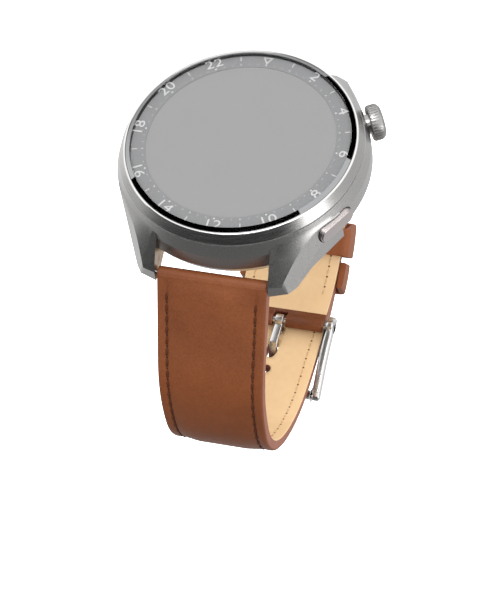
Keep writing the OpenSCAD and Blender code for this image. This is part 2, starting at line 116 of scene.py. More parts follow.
def cutWith(piece, cutter):
    # takes the cutter out of the piece for good
    modifier = piece.modifiers.new("cut", "BOOLEAN")
    modifier.operation = "DIFFERENCE"
    modifier.solver = "EXACT"
    modifier.use_self = True
    modifier.object = cutter
    graph = bpy.context.evaluated_depsgraph_get()
    cut = bpy.data.meshes.new_from_object(piece.evaluated_get(graph))
    piece.modifiers.clear()
    piece.data = cut
    bpy.data.objects.remove(cutter)


def turnedPiece(name, profile, material, segments=256):
    # spins [radius, height] points round the Z axis, in millimetres
    bm = bmesh.new()
    verts = [bm.verts.new((radius * mm, 0, height * mm)) for radius, height in profile]
    edges = []
    for a, b in zip(verts, verts[1:] + verts[:1]):
        if a.co.x or b.co.x:
            edges.append(bm.edges.new((a, b)))
    bmesh.ops.spin(bm, geom=verts + edges, cent=(0, 0, 0), axis=(0, 0, 1), dvec=(0, 0, 0),
                   angle=2 * math.pi, steps=segments, use_merge=True, use_duplicate=False)
    bmesh.ops.remove_doubles(bm, verts=bm.verts, dist=1e-7)
    bmesh.ops.recalc_face_normals(bm, faces=bm.faces)
    return finishMesh(name, bm, [material], 12)


# materials

def newMaterial(name):
    material = bpy.data.materials.new(name)
    material.use_nodes = True
    tree = material.node_tree
    return material, tree, tree.nodes["Principled BSDF"]


def addNode(tree, kind, values=None, **inputs):
    # inputs are given by name, or by number as i0, i1 and so on
    node = tree.nodes.new(kind)
    for key, value in (values or {}).items():
        setattr(node, key, value)
    for key, value in inputs.items():
        numbered = key[0] == "i" and key[1:].isdigit()
        socket = node.inputs[int(key[1:]) if numbered else key]
        if isinstance(value, bpy.types.NodeSocket):
            tree.links.new(value, socket)
        else:
            socket.default_value = value
    return node


def mathNode(tree, operation, a, b=0.0):
    return addNode(tree, "ShaderNodeMath", {"operation": operation}, i0=a, i1=b).outputs[0]


def objectCoords(tree, scale=(1, 1, 1), turn=(0, 0, 0)):
    coords = addNode(tree, "ShaderNodeTexCoord").outputs["Object"]
    mapping = addNode(tree, "ShaderNodeMapping", Vector=coords)
    mapping.inputs["Scale"].default_value = scale
    mapping.inputs["Rotation"].default_value = turn
    return mapping.outputs[0]


def ringCoords(tree, across, along):
    # a coordinate that runs round the Z axis, so brushing follows the circle
    parts = addNode(tree, "ShaderNodeSeparateXYZ",
                    Vector=addNode(tree, "ShaderNodeTexCoord").outputs["Object"])
    x, y, z = parts.outputs
    radius = mathNode(tree, "SQRT", mathNode(tree, "ADD", mathNode(tree, "MULTIPLY", x, x),
                                             mathNode(tree, "MULTIPLY", y, y)))
    angle = mathNode(tree, "ARCTAN2", y, x)
    return addNode(tree, "ShaderNodeCombineXYZ", i0=mathNode(tree, "MULTIPLY", radius, across),
                   i1=mathNode(tree, "MULTIPLY", z, across),
                   i2=mathNode(tree, "MULTIPLY", angle, along)).outputs[0]


def noise(tree, coords, scale, detail=4, rough=0.6):
    node = addNode(tree, "ShaderNodeTexNoise", Vector=coords, Scale=scale, Detail=detail, Roughness=rough)
    return node.outputs[0]


def spread(tree, value, low, high):
    # maps a pattern's middle range onto low to high
    node = addNode(tree, "ShaderNodeMapRange", Value=value)
    for key, number in (("From Min", 0.3), ("From Max", 0.7), ("To Min", low), ("To Max", high)):
        node.inputs[key].default_value = number
    return node.outputs[0]


def mixColours(tree, factor, low, high):
    node = addNode(tree, "ShaderNodeMix", {"data_type": "RGBA"}, i0=factor)
    node.inputs[6].default_value = (*low, 1)
    node.inputs[7].default_value = (*high, 1)
    return node.outputs[2]


def addBump(tree, shader, height, strength, distance):
    bump = addNode(tree, "ShaderNodeBump", Height=height, Strength=strength, Distance=distance * mm)
    tree.links.new(bump.outputs[0], shader.inputs["Normal"])
    return bump


def shade(value, factor):
    return tuple(min(1, c * factor) for c in value)


def makeMetal(name, colour, rough, brush=None, strength=0.15, sheenAndPatches=0.08):
    # brush is "ring", "line" or None for a polished face with faint scratches
    material, tree, shader = newMaterial(name)
    shader.inputs["Metallic"].default_value = 1
    if brush == "ring":
        coords = ringCoords(tree, 9000, 6)
    elif brush == "line":
        coords = objectCoords(tree, (9000, 700, 9000), (0, 0, 0.6))
    else:
        coords = objectCoords(tree, (260, 260, 260))
    streaks = noise(tree, coords, 1, 3)
    patches = noise(tree, objectCoords(tree, (90, 90, 90)), 1, 2)
    tree.links.new(spread(tree, streaks, rough * 0.8, rough * 1.25), shader.inputs["Roughness"])
    both = mathNode(tree, "ADD", mathNode(tree, "MULTIPLY", streaks, 0.7),
                    mathNode(tree, "MULTIPLY", patches, 0.3))
    # the colour swings lighter and darker along the streaks, as painted sheen on their ridges and painted shade in
    # their grooves, and in broad patches of tone at random
    tree.links.new(mixColours(tree, spread(tree, both, 0, 1), shade(colour, 1 - sheenAndPatches),
                              shade(colour, 1 + sheenAndPatches)), shader.inputs["Base Color"])
    addBump(tree, shader, streaks, strength, 0.01)
    return material


def makeMoulded(name, colour, rough, grain=2500, strength=0.25, vary=0.2):
    # plastic, rubber, paint or print with a fine grain and broad patches
    material, tree, shader = newMaterial(name)
    fine = noise(tree, objectCoords(tree, (grain,) * 3), 1, 3)
    broad = noise(tree, objectCoords(tree, (220,) * 3), 1, 3)
    tree.links.new(mixColours(tree, spread(tree, broad, 0, 1), shade(colour, 1 - vary),
                              shade(colour, 1 + vary)), shader.inputs["Base Color"])
    tree.links.new(spread(tree, fine, rough * 0.85, rough * 1.15), shader.inputs["Roughness"])
    addBump(tree, shader, fine, strength, 0.02)
    return material


leather = {
    "dark": (0.132, 0.038, 0.0125),
    "light": (0.228, 0.068, 0.0215),
    "rough": (0.42, 0.62),
    "grain": 1500,
    "bump": 0.45,
}


def makeLeather(name, settings):
    material, tree, shader = newMaterial(name)
    coords = objectCoords(tree)
    cells = addNode(tree, "ShaderNodeTexVoronoi", {"feature": "F1"}, Vector=coords,
                    Scale=settings["grain"]).outputs["Distance"]
    fine = noise(tree, coords, settings["grain"] * 1.7, 4)
    broad = noise(tree, coords, 70, 5, 0.65)
    creases = noise(tree, objectCoords(tree, (260, 900, 900)), 1, 5)
    tone = mathNode(tree, "ADD", mathNode(tree, "MULTIPLY", broad, 0.6),
                    mathNode(tree, "MULTIPLY", fine, 0.4))
    tree.links.new(mixColours(tree, spread(tree, tone, 0, 1), settings["dark"], settings["light"]),
                   shader.inputs["Base Color"])
    tree.links.new(spread(tree, fine, *settings["rough"]), shader.inputs["Roughness"])
    height = mathNode(tree, "ADD", mathNode(tree, "MULTIPLY", cells, 0.8), mathNode(
        tree, "ADD", mathNode(tree, "MULTIPLY", fine, 0.3), mathNode(tree, "MULTIPLY", creases, 0.5)))
    addBump(tree, shader, height, settings["bump"], 0.06)
    shader.inputs["Specular IOR Level"].default_value = 0.25
    return material


def makeLining(name):
    material, tree, shader = newMaterial(name)
    coords = objectCoords(tree)
    fibres = noise(tree, coords, 900, 6, 0.7)
    broad = noise(tree, coords, 60, 4)
    tone = mathNode(tree, "ADD", mathNode(tree, "MULTIPLY", broad, 0.65),
                    mathNode(tree, "MULTIPLY", fibres, 0.35))
    tree.links.new(mixColours(tree, spread(tree, tone, 0, 1), (0.74, 0.49, 0.255), (0.87, 0.63, 0.365)),
                   shader.inputs["Base Color"])
    tree.links.new(spread(tree, fibres, 0.55, 0.75), shader.inputs["Roughness"])
    addBump(tree, shader, fibres, 0.3, 0.05)
    return material


def makeThread(name, colour):
    material, tree, shader = newMaterial(name)
    twist = addNode(tree, "ShaderNodeTexWave", {"bands_direction": "DIAGONAL"},
                    Vector=objectCoords(tree), Scale=2600, Distortion=1.5).outputs[1]
    # painted shade and highlight: the twist's grooves are darker and its crests lighter than the thread's own
    # colour
    tree.links.new(mixColours(tree, twist, shade(colour, 0.55), shade(colour, 1.3)),
                   shader.inputs["Base Color"])
    tree.links.new(spread(tree, twist, 0.5, 0.75), shader.inputs["Roughness"])
    addBump(tree, shader, twist, 0.5, 0.04)
    shader.inputs["Specular IOR Level"].default_value = 0.15
    return material


def makeBoard(name):
    # solder mask with fine traces and pads
    material, tree, shader = newMaterial(name)
    coords = objectCoords(tree, (1, 1, 1), (0, 0, 0.78))
    traces = addNode(tree, "ShaderNodeTexBrick", Vector=coords, Scale=420)
    traces.inputs["Mortar Size"].default_value = 0.06
    pads = addNode(tree, "ShaderNodeTexVoronoi", Vector=coords, Scale=650).outputs["Distance"]
    padMask = mathNode(tree, "LESS_THAN", pads, 0.22)
    green = mixColours(tree, traces.outputs["Fac"], (0.012, 0.085, 0.04), (0.05, 0.2, 0.09))
    mixed = addNode(tree, "ShaderNodeMix", {"data_type": "RGBA"}, i0=padMask)
    tree.links.new(green, mixed.inputs[6])
    mixed.inputs[7].default_value = (0.75, 0.6, 0.3, 1)
    tree.links.new(mixed.outputs[2], shader.inputs["Base Color"])
    tree.links.new(mathNode(tree, "MULTIPLY", padMask, 0.9), shader.inputs["Metallic"])
    tree.links.new(spread(tree, traces.outputs["Fac"], 0.3, 0.42), shader.inputs["Roughness"])
    addBump(tree, shader, traces.outputs["Fac"], 0.4, 0.03)
    return material


def makeWinding(name, colour):
    # close turns of lacquered wire round the Z axis
    material, tree, shader = newMaterial(name)
    shader.inputs["Metallic"].default_value = 1
    turns = addNode(tree, "ShaderNodeTexWave", {"bands_direction": "X"},
                    Vector=ringCoords(tree, 1, 0.0002), Scale=1600).outputs[1]
    # painted shade: the colour darkens in the grooves between the turns of wire
    tree.links.new(mixColours(tree, turns, shade(colour, 0.35), colour), shader.inputs["Base Color"])
    tree.links.new(spread(tree, turns, 0.25, 0.4), shader.inputs["Roughness"])
    addBump(tree, shader, turns, 0.6, 0.08)
    return material


def makeGlass(name, tint, strength):
    # clear sheet: light passes straight through and the surface adds its reflections
    material, tree, shader = newMaterial(name)
    smudges = noise(tree, objectCoords(tree, (60, 60, 60)), 1, 2)
    clear = addNode(tree, "ShaderNodeBsdfTransparent", Color=(*tint, 1)).outputs[0]
    gloss = addNode(tree, "ShaderNodeBsdfGlossy", Color=(strength,) * 3 + (1,))
    tree.links.new(spread(tree, smudges, 0.01, 0.03), gloss.inputs["Roughness"])
    inside = addNode(tree, "ShaderNodeNewGeometry").outputs["Backfacing"]
    fresnel = addNode(tree, "ShaderNodeFresnel", IOR=addNode(
        tree, "ShaderNodeMapRange", i0=inside, i3=1.5, i4=1.0).outputs[0]).outputs[0]
    mixed = addNode(tree, "ShaderNodeMixShader", i0=fresnel, i1=clear, i2=gloss.outputs[0])
    tree.links.new(mixed.outputs[0], tree.nodes["Material Output"].inputs["Surface"])
    tree.nodes.remove(shader)
    return material


def makeGlossyCoat(name, colour, ior, rough=0.04):
    material, tree, shader = newMaterial(name)
    smudges = noise(tree, objectCoords(tree, (400, 400, 400)), 1, 4)
    tree.links.new(mixColours(tree, smudges, shade(colour, 0.8), shade(colour, 1.2)),
                   shader.inputs["Base Color"])
    tree.links.new(spread(tree, smudges, rough * 0.6, rough * 1.4), shader.inputs["Roughness"])
    shader.inputs["IOR"].default_value = ior
    return material


finishes = {
    "crystal": makeGlass("clearCrystal", (1, 1, 1), 0.2),
    "dial_print": makeMoulded("dialFilm", (0.165, 0.167, 0.17), 0.4, 300, 0.01, 0.015),
    "screen": makeMoulded("screenFace", (0.203, 0.203, 0.203), 0.35, 300, 0.01, 0.01),
    "black_rubber": makeMoulded("blackRubber", (0.02, 0.02, 0.02), 0.7),
    "bezel_steel": makeMetal("ringBrushedSteel", (0.40, 0.395, 0.39), 0.26, "ring"),
    "case_steel": makeMetal("satinSteel", (0.40, 0.395, 0.39), 0.3, "line"),
    "black_plastic": makeMoulded("blackPlastic", (0.025, 0.025, 0.028), 0.5),
    "white_plastic": makeMoulded("whitePlastic", (0.75, 0.75, 0.72), 0.45, vary=0.04),
    "flex_film": makeMoulded("amberFilm", (0.5, 0.2, 0.03), 0.3),
    "circuit_board": makeBoard("solderMask"),
    "tin_shield": makeMetal("tinPlate", (0.62, 0.62, 0.6), 0.3),
    "battery_can": makeMetal("batteryFoil", (0.6, 0.61, 0.62), 0.38, "line"),
    "copper_coil": makeWinding("copperWinding", (0.75, 0.32, 0.14)),
    "sensor_chips": makeMoulded("sensorLens", (0.5, 0.6, 0.4), 0.15, vary=0.3),
    "back_ceramic": makeGlossyCoat("blackCeramic", (0.012, 0.012, 0.013), 1.7, 0.15),
    "sensor_glass": makeGlossyCoat("smokedDome", (0.01, 0.01, 0.013), 1.6),
    "screw_steel": makeMetal("screwSteel", (0.55, 0.55, 0.55), 0.25),
    "polished_steel": makeMetal("polishedSteel", (0.66, 0.65, 0.64), 0.12, strength=0.03),
    "spring_steel": makeMetal("springSteel", (0.5, 0.5, 0.5), 0.22, strength=0.05),
    "crown_steel": makeMetal("crownSteel", (0.34, 0.335, 0.33), 0.28, strength=0.0, sheenAndPatches=0.03),
    "button_steel": makeMetal("buttonSteel", (0.46, 0.42, 0.415), 0.3, "line", strength=0.06),
    "brown_leather": makeLeather("tanLeather", leather),
    "cream_lining": makeLining("creamLining"),
    "buckle_steel": makeMetal("buckleSteel", (0.68, 0.67, 0.66), 0.28, strength=0.0, sheenAndPatches=0.03),
}
# painted light: the keepers use the strap leather in tones about one and a half times lighter, standing in for the
# light falling on them
keeperPaintedLightTones = {"dark": (0.2, 0.06, 0.02), "light": (0.33, 0.1, 0.034)}
keeperPaintedLightLeather = makeLeather("keeperPaintedLightLeather", {**leather, **keeperPaintedLightTones})
edgePaint = makeMoulded("paintedEdge", (0.27, 0.088, 0.044), 0.55, vary=0.12)
outerThread = makeThread("brownThread", (0.085, 0.024, 0.010))
innerThread = makeThread("creamThread", (0.68, 0.46, 0.25))
# painted shade for the needle holes: near black on the outside, brown on the lining
needleHoleShade = makeMoulded("needleHoleShade", (0.035, 0.012, 0.006), 0.9)
needleShade = makeMoulded("needleShade", (0.2, 0.08, 0.03), 0.9)
printWhite = makeMoulded("scalePrint", (0.44, 0.44, 0.44), 0.5, vary=0.03)
printFaint = makeMoulded("faintPrint", (0.38, 0.38, 0.38), 0.5, vary=0.03)
glassRim = makeMetal("glassRim", (0.30, 0.305, 0.31), 0.03, strength=0.0, sheenAndPatches=0.02)
slotOf = {part["node"]: part["material_slot"] for part in frame["record"]["subparts"]}
for nodeName, node in frame["nodes"].items():
    node.data.materials.clear()
    node.data.materials.append(finishes[slotOf[nodeName]])
print("materials made")


# case and screen, turned at full smoothness over the CAD's own sizes

bezelLow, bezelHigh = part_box("bezel")
glassLow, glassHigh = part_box("front_glass")
dialLow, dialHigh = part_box("dial_ring")
glass = {
    "radius": glassHigh.x / mm,
    "flatRadius": glassHigh.x / mm - 0.85,
    "under": glassLow.z / mm + 0.12,
    "edgeTop": glassHigh.z / mm - 0.55,
    "top": glassHigh.z / mm,
}
bezel = {
    "outer": bezelHigh.x / mm,
    "bottom": bezelLow.z / mm,
    "lip": bezelHigh.z / mm,
    "inner": glassHigh.x / mm + 0.05,
}


def makeGlassPieces(size):
    top = turnedPiece("crystal", [
        (0, size["under"]), (size["flatRadius"], size["under"]),
        (size["flatRadius"], size["top"]), (0, size["top"])], finishes["crystal"])
    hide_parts("front_glass")
    rim = turnedPiece("crystalRim", [
        (size["flatRadius"], size["under"]), (size["radius"], size["under"]),
        (size["radius"], size["edgeTop"]), (size["radius"] - 0.04, size["edgeTop"] + 0.06),
        (size["flatRadius"], size["top"])], glassRim)
    for piece in (top, rim):
        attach(piece, "watch_head")
    return top, rim


def makeBezel(size):
    low, lip = size["bottom"], size["lip"]
    ring = turnedPiece("bezelRing", [
        (size["inner"] - 0.4, low), (size["outer"] - 0.05, low), (size["outer"], low + 0.05),
        (size["outer"], low + 0.25), (size["outer"] - 0.05, low + 0.35),
        (size["outer"] - 0.88, lip - 0.24), (size["outer"] - 0.93, lip - 0.12),
        (size["outer"] - 1.02, lip - 0.03), (size["outer"] - 1.12, lip),
        (size["inner"] + 0.06, lip), (size["inner"], lip - 0.06),
        (size["inner"], lip - 0.4), (size["inner"] - 1.1, lip - 0.4),
        (size["inner"] - 1.1, lip - 1.0), (size["inner"] - 0.4, lip - 1.0)], finishes["bezel_steel"])
    ring.data.materials.append(finishes["polished_steel"])
    for face in ring.data.polygons:
        if face.center.z > (lip - 0.1) * mm:
            face.material_index = 1
    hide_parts("bezel")
    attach(ring, "watch_head")
    return ring


makeGlassPieces(glass)
makeBezel(bezel)
print("glass and bezel turned")


# hour scale printed under the glass

dial = {
    "numeralRadius": 20.12,
    "numeralHeight": 1.95,
    "numeralWide": 1.25,
    "triangle": (1.1, 0.68),
    "dotRadius": 18.75,
    "dotSize": 0.19,
    "tickRadius": 20.25,
    "tickSize": (0.2, 1.0),
    "minuteDots": (0.17, 0.12),
    "level": dialHigh.z / mm + 0.02,
}


def dialPoint(radius, clockAngle, level):
    turn = math.radians(90 - clockAngle)
    return Vector((radius * math.cos(turn), radius * math.sin(turn), level)) * mm


def makeNumerals(size):
    bm = bmesh.new()
    for step in range(1, 12):
        clockAngle = 30 * step
        curve = bpy.data.curves.new("numeral", "FONT")
        curve.body = str(2 * step)
        curve.size = size["numeralHeight"] * mm / 0.7
        curve.align_x = "CENTER"
        curve.align_y = "CENTER"
        curve.space_character = 1.05
        holder = bpy.data.objects.new("numeral", curve)
        scene.collection.objects.link(holder)
        graph = bpy.context.evaluated_depsgraph_get()
        mesh = bpy.data.meshes.new_from_object(holder.evaluated_get(graph))
        flip = 180 if 100 < clockAngle < 260 else 0
        place = (Matrix.Translation(dialPoint(size["numeralRadius"], clockAngle, size["level"]))
                 @ Matrix.Rotation(math.radians(flip - clockAngle), 4, "Z")
                 @ Matrix.Diagonal((size["numeralWide"], 1, 1, 1)))
        mesh.transform(place)
        bm.from_mesh(mesh)
        bpy.data.objects.remove(holder)
        bpy.data.meshes.remove(mesh)
    return bm


def makeScale(size):
    bm = makeNumerals(size)
    for step in range(12):
        middle = dialPoint(size["tickRadius"], 30 * step + 15, size["level"])
        turn = Matrix.Rotation(math.radians(-30 * step - 15), 4, "Z")
        bmesh.ops.create_grid(bm, x_segments=1, y_segments=1, size=0.5 * mm, matrix=(
            Matrix.Translation(middle) @ turn @ Matrix.Diagonal((*size["tickSize"], 1, 1))))
        dot = dialPoint(size["dotRadius"], 30 * step, size["level"])
        bmesh.ops.create_circle(bm, cap_ends=True, segments=16, radius=size["dotSize"] * mm,
                                matrix=Matrix.Translation(dot))
    # outlined triangle at the top
    outer, inner = size["triangle"]
    for start, end in ((0, 1), (1, 2), (2, 0)):
        corners = [dialPoint(size["numeralRadius"] - r * math.cos(math.radians(120 * k)),
                             math.degrees(r * math.sin(math.radians(120 * k)) / size["numeralRadius"]),
                             size["level"])
                   for r, k in ((outer, start), (outer, end), (inner, end), (inner, start))]
        bm.faces.new([bm.verts.new(corner) for corner in corners])
    bmesh.ops.recalc_face_normals(bm, faces=bm.faces)
    for face in bm.faces:
        if face.normal.z < 0:
            face.normal_flip()
    piece = finishMesh("hourScale", bm, [printWhite])
    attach(piece, "watch_head")


def makeFaintMarks(size):
    # small dots between the hours' dots
    large, small = size["minuteDots"]
    bm = bmesh.new()
    for step in range(72):
        if step % 6 == 0:
            continue
        dot = dialPoint(size["dotRadius"], 5 * step, size["level"])
        bmesh.ops.create_circle(bm, cap_ends=True, segments=12, radius=(small if step % 3 else large) * mm,
                                matrix=Matrix.Translation(dot))
    piece = finishMesh("minuteMarks", bm, [printFaint])
    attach(piece, "watch_head")


makeScale(dial)
makeFaintMarks(dial)
print("hour scale printed")


# strap path, rebuilt from the hinges it turns about

def planePoint(place):
    return Vector((place[1], place[2])) / mm


strap = {
    "width": 21.5,
    "endWidth": 18.6,
    "thick": 2.2,
    "joinOff": -0.25,
    "roll": 1.325,
    "lean": 31,
    "straight": 17,
    "side": (-37.6, -28.1),
    "bottom": (-20.4, -46.7),
    "bottomHeading": -20,
    "pull": 0.36,
    "tailGap": 0.15,
    "tailFrom": -6,
    "tailTo": 72,
    "tailSteps": 120,
    "rearHeading": -82,
    "rearEnd": -2.8,
    "rollReach": 14,
    "closedRuns": (0, 0.5, 1.0, 1.53),
    "splitRun": 1.6,
    "buckleRoll": 1.35,
    "holePitch": 5.2,
    "holeRadius": 1.05,
    "edgeRound": 0.45,
    "stitchFrom": 4.2,
    "stitchInset": 1.95,
    "stitchTilt": 6,
    "stitchPitch": 2.3,
    "stitchLength": 1.75,
}
frontBar = planePoint(joints["strap_swing"]["pos_m"])
rearBar = Vector((-frontBar.x, frontBar.y))
loopCentre = planePoint(joints["keeper_slide"]["pos_m"])
buckleAxis = planePoint(joints["buckle_swing"]["pos_m"])
rearBend = planePoint(joints["rear_leather_flex"]["pos_m"])
loopRadius = rearBend.x - loopCentre.x
tailRadius = loopRadius + strap["thick"] + strap["tailGap"]


def headingVector(degrees):
    return Vector((math.cos(math.radians(degrees)), math.sin(math.radians(degrees))))


def curvePoints(start, leave, end, arrive, count):
    # a smooth bend between two headings, without its last point
    pull = strap["pull"] * (end - start).length
    a, b = start + pull * headingVector(leave), end - pull * headingVector(arrive)
    points = []
    for i in range(count):
        t = i / count
        points.append((1 - t) ** 3 * start + 3 * t * (1 - t) ** 2 * a
                      + 3 * t * t * (1 - t) * b + t ** 3 * end)
    return points


def loopPoint(radius, angle):
    turn = math.radians(angle)
    return loopCentre + radius * Vector((math.sin(turn), -math.cos(turn)))


def arcPoints(radius, start, end, count):
    return [loopPoint(radius, start + (end - start) * i / count) for i in range(count + 1)]


def makeFrontLine():
    # down from the front bar, round the bottom and on as the tail over the short half
    down, leaning, bottomHeading = -90, -90 - strap["lean"], strap["bottomHeading"]
    straightEnd = frontBar + strap["straight"] * headingVector(leaning)
    side, bottom = Vector(strap["side"]), Vector(strap["bottom"])
    tailStart = loopPoint(tailRadius, strap["tailFrom"])
    return (curvePoints(frontBar, leaning, straightEnd, leaning, 40)
            + curvePoints(straightEnd, leaning, side, down, 60)
            + curvePoints(side, down, bottom, bottomHeading, 100)
            + curvePoints(bottom, bottomHeading, tailStart, strap["tailFrom"], 60)
            + arcPoints(tailRadius, strap["tailFrom"], strap["tailTo"], strap["tailSteps"]))


def makeRearLine():
    # down from the rear bar and round to the buckle
    return (curvePoints(rearBar, strap["rearHeading"], rearBend, -90, 60)
            + arcPoints(loopRadius, 90, strap["rearEnd"], 120))


class Band:
    # a strap's middle line, with its width and the side that faces out
    def __init__(self, points, side, endRun=None):
        self.points = points
        self.side = side
        self.runs = [0]
        for a, b in zip(points, points[1:]):
            self.runs.append(self.runs[-1] + (b - a).length)
        self.length = self.runs[-1]
        self.taper = (strap["width"] - strap["endWidth"]) / 2 / (endRun or self.length)

    def at(self, run):
        run = min(max(run, 0), self.length)
        i = max(k for k, value in enumerate(self.runs[:-1]) if value <= run)
        step = self.points[i + 1] - self.points[i]
        before = self.points[i] - self.points[max(i - 1, 0)]
        after = self.points[min(i + 2, len(self.points) - 1)] - self.points[i + 1]
        t = (run - self.runs[i]) / step.length
        place = self.points[i] + step * t
        start = (step.normalized() + before.normalized()).normalized() if i else step.normalized()
        end = (step.normalized() + after.normalized()).normalized() if after.length else step.normalized()
        way = (start * (1 - t) + end * t).normalized()
        return place, way, self.side * Vector((way.y, -way.x))

    def half(self, run):
        return strap["width"] / 2 - self.taper * run

    def fold(self, run):
        # the halves are thicker where they turn round the bar
        return (strap["roll"] - strap["thick"] / 2) * max(0, 1 - run / strap["rollReach"])


frontPoints = makeFrontLine()
tailIndex = len(frontPoints) - strap["tailSteps"] - 1
frontRuns = sum((b - a).length for a, b in zip(frontPoints[:tailIndex], frontPoints[1:tailIndex + 1]))
longBand = Band(frontPoints, 1, frontRuns)
shortBand = Band(makeRearLine(), -1)
print("strap lines:", round(longBand.length, 1), "and", round(shortBand.length, 1), "mm")


# leather and lining

padding = {
    "long": {"height": 0.36, "start": 3, "stop": 58, "fade": 14},
    "short": {"height": 0.2, "start": 3, "stop": 16, "fade": 12},
}


def smooth(value):
    value = min(max(value, 0), 1)
    return value * value * (3 - 2 * value)


def padAt(settings, run):
    return settings["height"] * smooth(run / settings["start"]) * smooth(
        (settings["stop"] + settings["fade"] - run) / settings["fade"])


def tipShare(band, run, reach=6, radius=6.9):
    # how the tail narrows to its rounded tip
    left = band.length - run
    return 1 if left > reach else math.sqrt(max(1 - ((reach - left) / radius) ** 2, 0))


def crossColumns():
    # places across the outer face: side and distance from that edge, or a share of the middle
    edges = [0, 0.06, 0.16, 0.3, 0.5, 1.0, 1.5, 1.75, 1.95, 2.1, 2.25, 2.45, 2.7, 3.3, 4.2]
    middle = [-0.8, -0.5, -0.2, 0.2, 0.5, 0.8]
    return ([(-1, edge) for edge in edges] + [(share, 0) for share in middle]
            + [(1, edge) for edge in reversed(edges)])


def outerShift(distance, pad):
    # rounded edge, stitch groove and padded middle of the outer face
    corner = strap["edgeRound"]
    shift = 0
    if distance < corner:
        shift -= corner - math.sqrt(max(corner ** 2 - (corner - distance) ** 2, 0))
    groove = math.exp(-((distance - strap["stitchInset"]) / 0.3) ** 2)
    return shift - 0.75 * pad * groove + pad * smooth((distance - strap["stitchInset"]) / 3.5)


def sectionRing(bm, count, index, place):
    # a closed ring of edges that remembers each vertex's number in the section
    verts = []
    for i in range(count):
        vert = bm.verts.new(place(i))
        vert[index] = i
        verts.append(vert)
    return [bm.edges.new(pair) for pair in zip(verts, verts[1:] + verts[:1])]


def nextRing(bm, ring, index, place):
    made = bmesh.ops.extrude_edge_only(bm, edges=ring)["geom"]
    fresh = {item for item in made if isinstance(item, bmesh.types.BMVert)}
    for vert in fresh:
        vert.co = place(vert[index])
    return [item for item in made if isinstance(item, bmesh.types.BMEdge)
            and item.verts[0] in fresh and item.verts[1] in fresh]


def sweepStations(name, stations, materials):
    # one closed section, extruded from station to station along the strap
    columns = crossColumns()
    flat = 4.2
    innerColumns = [(1, 0), (1, 0.12), (1, 2.0), (1, flat), (1.5, None), (-1.5, None), (-1, flat), (-1, 2.0),
                    (-1, 0.12), (-1, 0)]
    bm = bmesh.new()
    index = bm.verts.layers.int.new("columnIndex")
    last = len(columns)

    def place(i, station):
        point, normal, half, outer, inner, weight, pad = station
        squeeze = min(1, half / strap["endWidth"] * 2)
        if i < last:
            side, distance = columns[i]
            distance = half - abs(side) * (half - flat * squeeze) if abs(side) < 1 else distance * squeeze
            x = (half - distance) * (1 if side > 0 else -1)
            out = point + normal * (outer + weight * outerShift(distance, pad))
        else:
            side, depth = innerColumns[i - last]
            x = side if depth is None else side * (half - depth)
            lift = 0.12 if depth == 0 and inner < strap["joinOff"] else 0
            out = point + normal * (inner + lift)
        return Vector((x, out.x, out.y)) * mm

    count = last + len(innerColumns)
    first = sectionRing(bm, count, index, lambda i: place(i, stations[0]))
    ring = list(first)
    for station in stations[1:]:
        ring = nextRing(bm, ring, index, lambda i: place(i, station))
    for loop in (first, ring):
        caps = bmesh.ops.edgeloop_fill(bm, edges=loop)["faces"]
        bmesh.ops.triangulate(bm, faces=caps)
    painted = {last - 1, last, count - 1, 0}
    for face in bm.faces:
        found = {vert[index] for vert in face.verts}
        if found <= painted:
            face.material_index = 1
    bmesh.ops.recalc_face_normals(bm, faces=bm.faces)
    return finishMesh(name, bm, materials, 40)


def bandStations(start, stop, step=1.1):
    count = max(2, round((stop - start) / step))
    return [start + (stop - start) * i / count for i in range(count + 1)]


def bandSection(band, run, outer, inner, weight, pad, tip=False):
    # a station: middle, way out, half width, outer and inner face, shaping of the outer face, padding
    place, _, out = band.at(run)
    half = band.half(run) * (tipShare(band, run) if tip else 1)
    return place, out, half, outer, inner, weight, padAt(pad, run)


def addRoll(piece, centre, radius, half):
    # leather turned round a bar
    bm = bmesh.new()
    bm.from_mesh(piece.data)
    middle = Matrix.Translation(Vector((0, centre.x, centre.y)) * mm)
    made = bmesh.ops.create_cone(bm, cap_ends=True, segments=48, radius1=radius * mm, radius2=radius * mm,
                                 depth=2 * half * mm, matrix=middle @ Matrix.Rotation(math.pi / 2, 4, "Y"))
    rims = list({edge for vert in made["verts"] for edge in vert.link_edges
                 if any(len(face.verts) > 4 for face in edge.link_faces)})
    bmesh.ops.bevel(bm, geom=rims, offset=0.3 * mm, segments=3, profile=0.5, affect="EDGES", material=-1)
    for face in bm.faces:
        if abs(face.normal.x) > 0.9 and (face.calc_center_median().yz / mm - centre).length < radius:
            face.material_index = 1
    bm.to_mesh(piece.data)
    bm.free()
    piece.data.polygons.foreach_set("use_smooth", [True] * len(piece.data.polygons))
    piece.data.set_sharp_from_angle(angle=math.radians(40))


def makeLongLeather():
    # whole round the bar, then split for the lining, with a rounded tip
    pad, thick, join = padding["long"], strap["thick"] / 2, strap["joinOff"]
    stop = longBand.length
    stations = [bandSection(longBand, run, thick + longBand.fold(run), -thick - longBand.fold(run), 1, pad)
                for run in strap["closedRuns"]]
    stations += [bandSection(longBand, run, thick + longBand.fold(run), join, 1, pad, True)
                 for run in bandStations(strap["splitRun"], stop - 0.7)]
    stations += [bandSection(longBand, stop - 0.4, thick - 0.05, join, 1, pad, True),
                 bandSection(longBand, stop - 0.15, thick - 0.2, join, 1, pad, True),
                 bandSection(longBand, stop, thick - 0.5, join, 0, pad, True)]
    piece = sweepStations("longLeather", stations, [finishes["brown_leather"], edgePaint])
    addRoll(piece, longBand.points[0], strap["roll"], strap["width"] / 2 - 0.02)
    return piece


def makeLongLining():
    thick, join, pad = strap["thick"] / 2, strap["joinOff"], padding["long"]
    stations = [bandSection(longBand, run, join - 0.005, -thick - longBand.fold(run), 0, pad, True)
                for run in bandStations(strap["splitRun"], longBand.length - 0.1)]
    return sweepStations("longLining", stations, [finishes["cream_lining"], edgePaint])


